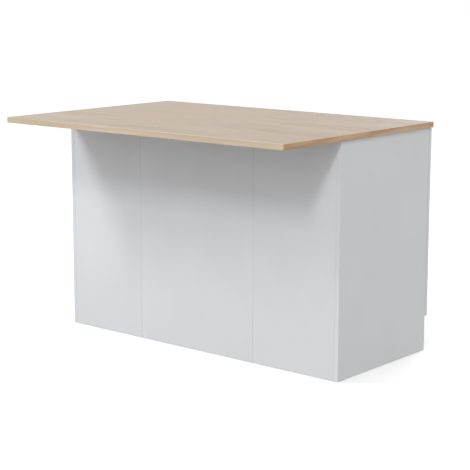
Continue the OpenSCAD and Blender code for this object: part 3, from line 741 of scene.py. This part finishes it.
def rounded_board(low: np.ndarray, high: np.ndarray, radius: float, thin: Axis, steps: int = 3) -> Surface:
    """Board with rounded edges and corners.

    A point q of the box's skin is held to the box shrunk by the radius, c = clamp(q), and pushed out again:
    p = c + radius * (q - c) / |q - c|. The grid lines near an edge lie at radius * tan(a) for equal angles a
    up to 45 degrees, so each arc has even steps.

    Args:
        low, high: corners of the box.
        radius: radius of the edges.
        thin: axis of the board's thickness.
        steps: steps in each eighth of a turn.
    Returns:
        The closed surface. Its two flat main faces have zone FACE, the rest has zone EDGE.
    """
    half = (np.asarray(high) - np.asarray(low)) / 2
    middle = (np.asarray(high) + np.asarray(low)) / 2
    inner = half - radius
    swing = radius * np.tan(np.linspace(0, math.pi / 4, steps + 1))
    ticks = [np.concatenate([-(i + swing)[::-1], i + swing]) for i in inner]
    count = 2 * (steps + 1)
    cells = np.zeros((count - 1, count - 1), bool)
    cells[steps, steps] = True
    flat = cells.ravel()
    points, quads, zones = [], [], []
    for axis in Axis:
        across = [a for a in Axis if a is not axis]
        for side in (-1.0, 1.0):
            skin = np.empty((count, count, 3))
            skin[..., axis] = side * half[axis]
            grid = np.meshgrid(ticks[across[0]], ticks[across[1]], indexing="ij")
            skin[..., across[0]], skin[..., across[1]] = grid
            held = np.clip(skin, -inner, inner)
            out = skin - held
            out /= np.linalg.norm(out, axis=-1, keepdims=True)
            quads.append(grid_quads(count, count) + sum(len(p) for p in points))
            points.append((held + radius * out + middle).reshape(-1, 3))
            zones.append(np.where(flat & (axis is thin), Zone.FACE, Zone.EDGE))
    joined = np.concatenate(points)
    spots = np.round(joined / WELD).astype(np.int64)
    _, first, again = np.unique(spots, axis=0, return_index=True, return_inverse=True)
    smooth = np.tile(~flat, len(quads))
    return Surface(joined[first], again.ravel()[np.concatenate(quads)], np.concatenate(zones), smooth)


def turned(profile: np.ndarray, foot: np.ndarray, along: Axis, around: int) -> Surface:
    """Turned part: a profile swept round an axis.

    Point (i, j) is foot + t[i] * axis + r[i] * (cos a[j], sin a[j]) across the axis. Flat discs close both
    ends.

    Args:
        profile: rows of (distance along the axis, radius).
        foot: where the axis starts.
        along: direction of the axis.
        around: points round the axis.
    Returns:
        The closed surface.
    """
    angles = np.linspace(0, 2 * math.pi, around, endpoint=False)
    across = [a for a in Axis if a is not along]
    rows = len(profile)
    points = np.zeros((rows, around, 3)) + np.asarray(foot)
    points[..., along] += profile[:, :1]
    points[..., across[0]] += profile[:, 1:] * np.cos(angles)
    points[..., across[1]] += profile[:, 1:] * np.sin(angles)
    quads = grid_quads(rows, around, closed=True)
    last = (rows - 1) * around
    caps = [list(range(around)), list(range(last, last + around))]
    ones = np.ones(len(quads), bool)
    return Surface(points.reshape(-1, 3), quads, np.zeros(len(quads), int), ones, caps)


# Workshop: turns surfaces and CAD copies into finished pieces


@dataclass
class Workshop:
    """Makes Blender objects in the frame and counts them."""

    frame: dict[str, Any]
    finishes: Finishes
    made: int = 0
    # Faces of a copied solid that turn less than this from each other become one face.
    flat_angle: float = math.radians(0.4)
    # Edges that turn more than this are eased, in so many steps.
    edge_angle: float = math.radians(50)
    edge_steps: int = 2
    # Rolled steel: outer radius of a bend and its steps, an inner bend's share of it, the shortest edge that
    # is a bend, and the ease of the other edges.
    bend_radius: float = 1.1 * MM
    bend_steps: int = 4
    inner_share: float = 0.4
    bend_length: float = 400 * MM
    rolled_ease: float = 0.15 * MM
    # A face is on a board's skin if it is this near to the board's box and faces out at least this squarely.
    skin_depth: float = 0.02 * MM
    skin_facing: float = 0.99

    def corners(self, node: str) -> tuple[np.ndarray, np.ndarray]:
        """Lowest and highest corner of a CAD node."""
        low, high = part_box(node)
        return np.array(low), np.array(high)

    def body_of(self, node: str) -> str:
        """Name of the body that a CAD node belongs to."""
        bodies = self.frame["record"]["behaviour"]["bodies"]
        return next(body for body, nodes in bodies.items() if node in nodes)

    def build(
        self,
        name: str,
        surface: Surface,
        materials: Sequence[Material],
        node: str,
        slot: Slot,
        sharp: float = 40.0,
    ) -> None:
        """Makes a piece from a surface, on the body of the CAD node that it replaces.

        Args:
            name: the piece's name.
            surface: its shape.
            materials: one for each zone.
            node: the CAD node that it stands for.
            slot: its material slot in the record, which is not used.
            sharp: angle in degrees past which an edge is shaded sharp.
        """
        mesh = bpy.data.meshes.new(name)
        mesh.from_pydata(surface.points.tolist(), [], surface.quads.tolist() + surface.caps)
        caps = len(surface.caps)
        self._finish(mesh, materials, np.concatenate([surface.zones, np.zeros(caps, int)]))
        mesh.polygons.foreach_set("use_smooth", np.concatenate([surface.smooth, np.zeros(caps, bool)]))
        self._face_outwards(mesh)
        mesh.set_sharp_from_angle(angle=math.radians(sharp))
        self._place(name, mesh, node, slot)

    def board(
        self, node: str, thin: Axis, radius: float, low_fill: float = 0.0, high_fill: float = 0.0
    ) -> None:
        """Makes one plain white board with rounded edges in the place of its node.

        Args:
            node: the CAD node.
            thin: axis of its thickness.
            radius: radius of its edges.
            low_fill, high_fill: how far its two ends reach into the seam beside them; less than 0 opens it.
        """
        low, high = self.corners(node)
        low[Axis.X] -= low_fill
        high[Axis.X] += high_fill
        surface = rounded_board(low, high, radius, thin)
        self.build(f"{node}_board", surface, self.finishes.board, node, Slot.WHITE)

    def bored_board(self, node: str, finish: Sequence[Material], width: float) -> None:
        """Makes one white board that has bores, as a copy of its node with eased edges."""
        self.eased(f"{node}_board", node, finish, Slot.WHITE, width, zoned=True)

    def fitting(
        self, node: str, work: str, metal: Material, width: float, keep: Optional[Keep] = None
    ) -> None:
        """Makes a steel fitting, as a copy of its node with eased edges. Its name ends in the work."""
        self.eased(f"{node}_{work}", node, [metal], Slot.STEEL, width, keep)

    def rolled(self, node: str) -> None:
        """Makes slide members of rolled steel, as a copy of their node with rounded bends."""
        name = f"{node}_rolled"
        self.eased(name, node, [self.finishes.zinc], Slot.STEEL, self.rolled_ease, bend=self.bend_radius)

    def eased(
        self,
        name: str,
        node: str,
        materials: Sequence[Material],
        slot: Slot,
        width: float,
        keep: Optional[Keep] = None,
        zoned: bool = False,
        bend: float = 0.0,
    ) -> None:
        """Makes a piece from a merged copy of a CAD node, its edges eased.

        Args:
            name: the piece's name.
            node: the CAD node that it stands for.
            materials: one for each zone.
            slot: its material slot in the record, which is not used.
            width: width of the eased edges.
            keep: says from a solid's two corners whether it stays; all stay without it.
            zoned: gives a board's faces, edges and bores their own finishes.
            bend: outer radius of the long bends of rolled steel; none without it.
        """
        mesh = self.frame["nodes"][node].data.copy()
        mesh.name = name
        work = bmesh.new()
        work.from_mesh(mesh)
        bmesh.ops.remove_doubles(work, verts=work.verts, dist=WELD)
        bmesh.ops.dissolve_limit(
            work, angle_limit=self.flat_angle, verts=work.verts, edges=work.edges, delimit={"NORMAL"}
        )
        if keep is not None:
            self._keep(work, keep)
        bmesh.ops.recalc_face_normals(work, faces=work.faces)
        if bend:
            self._mark_bends(work, width / bend)
        work.to_mesh(mesh)
        work.free()
        zones = self._board_zones(mesh) if zoned else np.zeros(len(mesh.polygons), int)
        self._finish(mesh, materials, zones)
        mesh.polygons.foreach_set("use_smooth", zones == Zone.CORE if zoned else np.ones(len(zones), bool))
        bevel = self._place(name, mesh, node, slot).modifiers.new("eased_edges", "BEVEL")
        bevel.width = bend or width
        bevel.segments = self.bend_steps if bend else self.edge_steps
        bevel.limit_method = "WEIGHT" if bend else "ANGLE"
        bevel.angle_limit = self.edge_angle
        bevel.harden_normals = not zoned

    def dress(self, nodes: Iterable[str], material: Material) -> None:
        """Gives CAD nodes that stay a material.

        Args:
            nodes: their names.
            material: the finish.
        """
        for name in nodes:
            mesh = self.frame["nodes"][name].data
            self._finish(mesh, [material], np.zeros(len(mesh.polygons), int))
            LOG.info("dressed %s with %s", name, material.name)

    def _place(self, name: str, mesh: Mesh, node: str, slot: Slot) -> Object:
        """Links a mesh as a piece, rides it on its node's body and hides the node.

        Args:
            name: the piece's name.
            mesh: its mesh.
            node: the CAD node that it stands for.
            slot: its material slot in the record, which is not used.
        Returns:
            The piece.
        """
        piece = bpy.data.objects.new(name, mesh)
        bpy.context.scene.collection.objects.link(piece)
        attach(piece, self.body_of(node))
        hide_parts(node)
        self.made += 1
        LOG.info("made %s for %s: %d faces", name, node, len(mesh.polygons))
        return piece

    @staticmethod
    def _finish(mesh: Mesh, materials: Sequence[Material], zones: np.ndarray) -> None:
        """Gives a mesh its materials.

        Args:
            mesh: the mesh.
            materials: one for each zone.
            zones: the zone of each face.
        """
        mesh.materials.clear()
        for material in materials:
            mesh.materials.append(material)
        mesh.polygons.foreach_set("material_index", zones.astype(np.int32))

    @staticmethod
    def _face_outwards(mesh: Mesh) -> None:
        """Turns every face of a mesh outwards.

        Args:
            mesh: the closed mesh.
        """
        work = bmesh.new()
        work.from_mesh(mesh)
        bmesh.ops.recalc_face_normals(work, faces=work.faces)
        work.to_mesh(mesh)
        work.free()

    @staticmethod
    def _keep(work: bmesh.types.BMesh, keep: Keep) -> None:
        """Deletes the loose solids of a mesh that a test refuses.

        Args:
            work: the mesh.
            keep: says from a solid's two corners whether it stays.
        """
        left = set(work.verts)
        gone = []
        while left:
            group = {left.pop()}
            front = set(group)
            while front:
                front = {edge.other_vert(v) for v in front for edge in v.link_edges} & left
                left -= front
                group |= front
            spots = np.array([v.co for v in group])
            if not keep(spots.min(axis=0), spots.max(axis=0)):
                gone += list(group)
        bmesh.ops.delete(work, geom=gone, context="VERTS")

    def _mark_bends(self, work: bmesh.types.BMesh, small: float) -> None:
        """Gives the long outer bends of rolled steel full bevel weight, inner bends and other edges less.

        Args:
            work: the mesh.
            small: weight of the other sharp edges.
        """
        layer = work.edges.layers.float.new("bevel_weight_edge")
        for edge in work.edges:
            if len(edge.link_faces) != 2 or edge.calc_face_angle() < self.edge_angle:
                continue
            if edge.calc_length() < self.bend_length:
                edge[layer] = small
            else:
                edge[layer] = 1.0 if edge.is_convex else self.inner_share

    @staticmethod
    def _vectors(items: bpy.types.bpy_prop_collection, key: str) -> np.ndarray:
        """Rows of three numbers, read from each of a mesh's faces or points.

        Args:
            items: the faces or points.
            key: name of the vector to read.
        Returns:
            One row for each.
        """
        flat = np.empty(len(items) * 3, np.float32)
        items.foreach_get(key, flat)
        return flat.reshape(-1, 3)

    def _board_zones(self, mesh: Mesh) -> np.ndarray:
        """Zone of each face of a bored board: main face, outer edge, or core inside a bore.

        Args:
            mesh: the board.
        Returns:
            One zone for each face.
        """
        spots = self._vectors(mesh.vertices, "co")
        centres = self._vectors(mesh.polygons, "center")
        low, high = spots.min(axis=0), spots.max(axis=0)
        near = np.minimum(centres - low, high - centres) < self.skin_depth
        on_skin = near & (np.abs(self._vectors(mesh.polygons, "normal")) > self.skin_facing)
        thin = int(np.argmin(high - low))
        zones = np.full(len(centres), Zone.CORE)
        zones[on_skin.any(axis=1)] = Zone.EDGE
        zones[on_skin[:, thin]] = Zone.FACE
        return zones


# Sub-assemblies


@dataclass
class Worktop:
    """Oak worktop: one board with edge bands."""

    shop: Workshop
    radius: float = 1.0 * MM
    arc_steps: int = 4

    def build(self) -> None:
        """Builds the board, with its faces, long bands and short bands in their own finishes."""
        low, high = self.shop.corners("worktop")
        board = rounded_board(low, high, self.radius, Axis.Z, self.arc_steps)
        middles = board.points[board.quads].mean(axis=1)
        at_end = np.abs(middles[:, Axis.X]) > high[Axis.X] - self.radius
        bands = np.where(at_end, TopZone.SHORT_BAND, TopZone.LONG_BAND)
        board.zones = np.where(board.zones == Zone.FACE, TopZone.FACE, bands)
        self.shop.build("worktop_board", board, self.shop.finishes.worktop, "worktop", Slot.OAK)


@dataclass
class Carcass:
    """White boards that carry the worktop.

    The back panels reach seam_fill into the seams between them, and stop end_gap short of the side panels.
    """

    shop: Workshop
    radius: float = 0.6 * MM
    eased_width: float = 0.5 * MM
    seam_fill: float = 0.17 * MM
    end_gap: float = 0.7 * MM

    def build(self) -> None:
        """Builds the plain boards as surfaces and the bored boards as eased copies."""
        finishes = self.shop.finishes
        places = ("left", "centre", "right")
        fill, gap = self.seam_fill, self.end_gap
        for place, low_fill, high_fill in zip(places, (-gap, fill, fill), (fill, fill, -gap)):
            self.shop.board(f"back_panel_{place}", Axis.Y, self.radius, low_fill, high_fill)
            self.shop.board(f"plinth_{place}", Axis.Y, self.radius)
        for place in ("left", "right"):
            self.shop.board(f"shelf_{place}", Axis.Z, self.radius)
        for node in ("side_panel_left", "side_panel_right"):
            self.shop.bored_board(node, finishes.end_board, self.eased_width)
        bored = ["divider_left", "divider_right", "front_rail", "rear_rail"]
        for node in bored + [f"bottom_panel_{place}" for place in places]:
            self.shop.bored_board(node, finishes.board, self.eased_width)


@dataclass
class Handle:
    """Bar handle on two posts, screwed to the front that it opens."""

    shop: Workshop
    node: str
    front: str
    along: Axis
    bar_d: float = 10 * MM
    bar_round: float = 0.9 * MM
    post_d: float = 8 * MM
    post_span: float = 160 * MM
    foot_d: float = 10 * MM
    foot_h: float = 1.6 * MM
    screw_ease: float = 0.2 * MM
    # A solid of the handle that goes at least this far into the front is a screw.
    screw_depth: float = 1 * MM
    bar_points: int = 48
    post_points: int = 36
    round_points: int = 6
    flare_points: int = 5
    sharp: float = 50.0

    def build(self) -> None:
        """Builds the bar and its posts as turned parts, and keeps the screws as eased copies."""
        finishes = self.shop.finishes
        low, high = self.shop.corners(self.node)
        front_y = self.shop.corners(self.front)[0][Axis.Y]
        middle = (low + high) / 2
        middle[Axis.Y] = low[Axis.Y] + self.bar_d / 2
        start = middle.copy()
        start[self.along] = low[self.along]
        bar = self._bar_profile(high[self.along] - low[self.along])
        post = self._post_profile(front_y - middle[Axis.Y])
        parts = [turned(bar, start, self.along, self.bar_points)]
        for side in (-1, 1):
            foot = middle.copy()
            foot[self.along] += side * self.post_span / 2
            parts.append(turned(post, foot, Axis.Y, self.post_points))
        metal = finishes.bar_z if self.along is Axis.Z else finishes.bar_x
        name = f"{self.node}_bar"
        self.shop.build(name, Surface.joined(parts), [metal], self.node, Slot.HANDLE, self.sharp)
        behind_face = front_y + self.screw_depth
        self.shop.fitting(
            self.node, "screws", finishes.zinc, self.screw_ease, lambda _, top: top[Axis.Y] > behind_face
        )

    def _bar_profile(self, length: float) -> np.ndarray:
        """Bar with rounded ends.

        The first end is t = e * (1 - cos a), r = bar_d / 2 - e * (1 - sin a), with e the radius bar_round and
        a from 0 to 90 degrees. The other end mirrors it.

        Args:
            length: length of the bar.
        Returns:
            Rows of (distance along the bar, radius).
        """
        angle = np.linspace(0, math.pi / 2, self.round_points)
        reach = self.bar_round * (1 - np.cos(angle))
        radius = self.bar_d / 2 - self.bar_round * (1 - np.sin(angle))
        start = np.stack([reach, radius], axis=1)
        end = start[::-1].copy()
        end[:, 0] = length - end[:, 0]
        return np.concatenate([start, end])

    def _post_profile(self, length: float) -> np.ndarray:
        """Post: straight from inside the bar, then a quarter-round flare to the foot against the front.

        The flare is t = length - foot_h + f * sin a, r = post_d / 2 + f * (1 - cos a), with f half of what
        the foot is wider than the post and a from 0 to 90 degrees.

        Args:
            length: distance from the bar's axis to the front.
        Returns:
            Rows of (distance along the post, radius).
        """
        flare = (self.foot_d - self.post_d) / 2
        angle = np.linspace(0, math.pi / 2, self.flare_points)
        reach = length - self.foot_h + flare * np.sin(angle)
        radius = self.post_d / 2 + flare * (1 - np.cos(angle))
        curve = np.stack([reach, radius], axis=1)
        return np.concatenate([[[0.0, self.post_d / 2]], curve, [[length, self.foot_d / 2]]])


@dataclass
class Door:
    """One door: board, handle, hinge cups and links."""

    shop: Workshop
    side: str
    board_ease: float = 0.6 * MM
    hinge_ease: float = 0.25 * MM

    def build(self) -> None:
        """Builds the door's pieces."""
        finishes = self.shop.finishes
        door = f"door_{self.side}"
        self.shop.bored_board(door, finishes.board, self.board_ease)
        Handle(self.shop, f"door_handle_{self.side}", door, Axis.Z).build()
        self.shop.fitting(f"hinge_cups_{self.side}", "pressed", finishes.nickel, self.hinge_ease)
        self.shop.fitting(f"hinge_links_{self.side}", "pressed", finishes.zinc, self.hinge_ease)


@dataclass
class Drawer:
    """One drawer: front, box, handle, inner and middle slide members."""

    shop: Workshop
    place: str
    side_t: float = 12 * MM
    front_radius: float = 0.8 * MM
    board_radius: float = 0.5 * MM

    def build(self) -> None:
        """Builds the drawer's pieces."""
        drawer = f"drawer_{self.place}"
        self.shop.board(f"{drawer}_front", Axis.Y, self.front_radius)
        self._sides(drawer)
        self.shop.board(f"{drawer}_back", Axis.Y, self.board_radius)
        self.shop.board(f"{drawer}_base", Axis.Z, self.board_radius)
        Handle(self.shop, f"{drawer}_handle", f"{drawer}_front", Axis.X).build()
        self.shop.rolled(f"{drawer}_slides")
        self.shop.rolled(f"slide_middles_{self.place}")

    def _sides(self, drawer: str) -> None:
        """Builds the two sides as one piece, each side_t thick from an end of their node's box.

        Args:
            drawer: start of the names of the drawer's nodes.
        """
        low, high = self.shop.corners(f"{drawer}_sides")
        near, far = low.copy(), high.copy()
        near[Axis.X] = high[Axis.X] - self.side_t
        far[Axis.X] = low[Axis.X] + self.side_t
        boxes = ((low, far), (near, high))
        sides = Surface.joined([rounded_board(*box, self.board_radius, Axis.X) for box in boxes])
        finish = self.shop.finishes.board
        self.shop.build(f"{drawer}_side_boards", sides, finish, f"{drawer}_sides", Slot.WHITE)


@dataclass
class Fittings:
    """Screws, locks, dowels, glides, hinge arms and plates, and the slides' outer members."""

    shop: Workshop
    lock_ease: float = 0.15 * MM
    arm_ease: float = 0.3 * MM
    plate_ease: float = 0.25 * MM

    def build(self) -> None:
        """Dresses the small parts that keep their shape and eases the ones that show."""
        finishes = self.shop.finishes
        screws = ("cam_bolts", "worktop_screws", "rail_screws", "small_screws", "shelf_pins")
        self.shop.dress(screws, finishes.zinc)
        self.shop.dress(("wood_dowels",), finishes.beech)
        self.shop.dress(("floor_glides",), finishes.nylon)
        self.shop.fitting("cam_locks", "cast", finishes.zinc, self.lock_ease)
        self.shop.fitting("hinge_arms", "pressed", finishes.nickel, self.arm_ease)
        self.shop.fitting("hinge_plates", "pressed", finishes.zinc, self.plate_ease)
        self.shop.rolled("slide_outers")


# Studio


@dataclass(frozen=True)
class LightPanel:
    """Soft light panel that hangs at a place, faces a point, and has a width, a height and a power."""

    name: str
    place: Triple
    aim: Triple
    size: tuple[float, float]
    watts: float

    def hang(self) -> None:
        """Adds the panel to the scene."""
        light = bpy.data.lights.new(self.name, "AREA")
        light.shape = "RECTANGLE"
        light.size, light.size_y = self.size
        light.energy = self.watts
        holder = bpy.data.objects.new(self.name, light)
        bpy.context.scene.collection.objects.link(holder)
        holder.location = self.place
        look = Vector(self.aim) - Vector(self.place)
        holder.rotation_euler = look.to_track_quat("-Z", "Y").to_euler()


@dataclass
class Studio:
    """Pale floor, soft lights and camera."""

    finishes: Finishes
    ring_radii: tuple[float, ...] = (0.05, 1.0, 3.0, 9.0, 40.0)
    ring_points: int = 64
    sky_above: float = 0.765
    sky_below: float = 0.4
    horizon: float = 0.04
    panels: tuple[LightPanel, ...] = (
        LightPanel("seat_panel_left", (2.97, 2.67, 4.5), (0.0, 0.1, 0.45), (0.3, 1.75), 121.0),
        LightPanel("seat_panel_right", (-2.38, 4.5, 4.25), (0.0, 0.1, 0.45), (0.56, 1.2), 91.0),
        LightPanel("door_panel", (0.25, -4.4, 3.0), (0.0, -0.4, 0.45), (1.8, 1.6), 72.0),
    )
    camera_place: Triple = (-3.4977, 4.1275, 1.4586)
    camera_look: Triple = (0.638359, -0.750719, -0.170055)
    lens: float = 106.58
    shift: tuple[float, float] = (0.038, -0.0453)
    sight: float = 200.0

    def build(self) -> None:
        """Builds the floor, the lights and the camera."""
        self._floor()
        self._sky()
        for panel in self.panels:
            panel.hang()
        self._camera()
        bpy.context.scene.view_settings.view_transform = "Standard"

    def _floor(self) -> None:
        """Floor disc: rings at growing radius, (r cos a, r sin a, 0)."""
        radii = np.array(self.ring_radii)
        angles = np.linspace(0, 2 * math.pi, self.ring_points, endpoint=False)
        points = np.zeros((len(radii), len(angles), 3))
        points[..., Axis.X] = radii[:, None] * np.cos(angles)
        points[..., Axis.Y] = radii[:, None] * np.sin(angles)
        mesh = bpy.data.meshes.new("studio_floor")
        faces = grid_quads(len(radii), len(angles), closed=True).tolist() + [list(range(len(angles)))]
        mesh.from_pydata(points.reshape(-1, 3).tolist(), [], faces)
        mesh.materials.append(self.finishes.floor)
        floor = bpy.data.objects.new("studio_floor", mesh)
        bpy.context.scene.collection.objects.link(floor)
        floor.visible_diffuse = False
        floor.visible_shadow = False

    def _sky(self) -> None:
        """Even surroundings, brighter above the horizon than below, with full white behind the object."""
        world = bpy.data.worlds.new("studio_sky")
        bpy.context.scene.world = world
        g = Graph(world)
        seen = Signal(g, g.node("ShaderNodeLightPath", {}, {}).outputs["Is Camera Ray"])
        direction = g.node("ShaderNodeTexCoord", {}, {}).outputs["Generated"]
        height = Signal(g, g.node("ShaderNodeSeparateXYZ", {}, {0: direction}).outputs[Axis.Z])
        lit = height.spread(-self.horizon, self.horizon, self.sky_below, self.sky_above)
        inputs = {"Color": (1.0, 1.0, 1.0, 1.0), "Strength": lit * (1 - seen) + seen}
        glow = g.node("ShaderNodeBackground", {}, inputs)
        g.node("ShaderNodeOutputWorld", {}, {"Surface": glow.outputs[0]})

    def _camera(self) -> None:
        """Camera at the photograph's place, level from side to side."""
        lens = bpy.data.cameras.new("camera")
        lens.lens = self.lens
        lens.shift_x, lens.shift_y = self.shift
        lens.clip_end = self.sight
        holder = bpy.data.objects.new("camera", lens)
        bpy.context.scene.collection.objects.link(holder)
        holder.location = self.camera_place
        holder.rotation_euler = Vector(self.camera_look).to_track_quat("-Z", "Y").to_euler()
        bpy.context.scene.camera = holder


def main() -> None:
    """Builds the unit around the frame."""
    logging.basicConfig(level=logging.INFO, format="%(name)s %(message)s")
    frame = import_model()
    finishes = Finishes()
    shop = Workshop(frame, finishes)
    Worktop(shop).build()
    Carcass(shop).build()
    for side in ("left", "right"):
        Door(shop, side).build()
    for place in ("top", "middle", "bottom"):
        Drawer(shop, place).build()
    Fittings(shop).build()
    Studio(finishes).build()
    LOG.info("made %d pieces", shop.made)


if __name__ == "__main__":
    main()
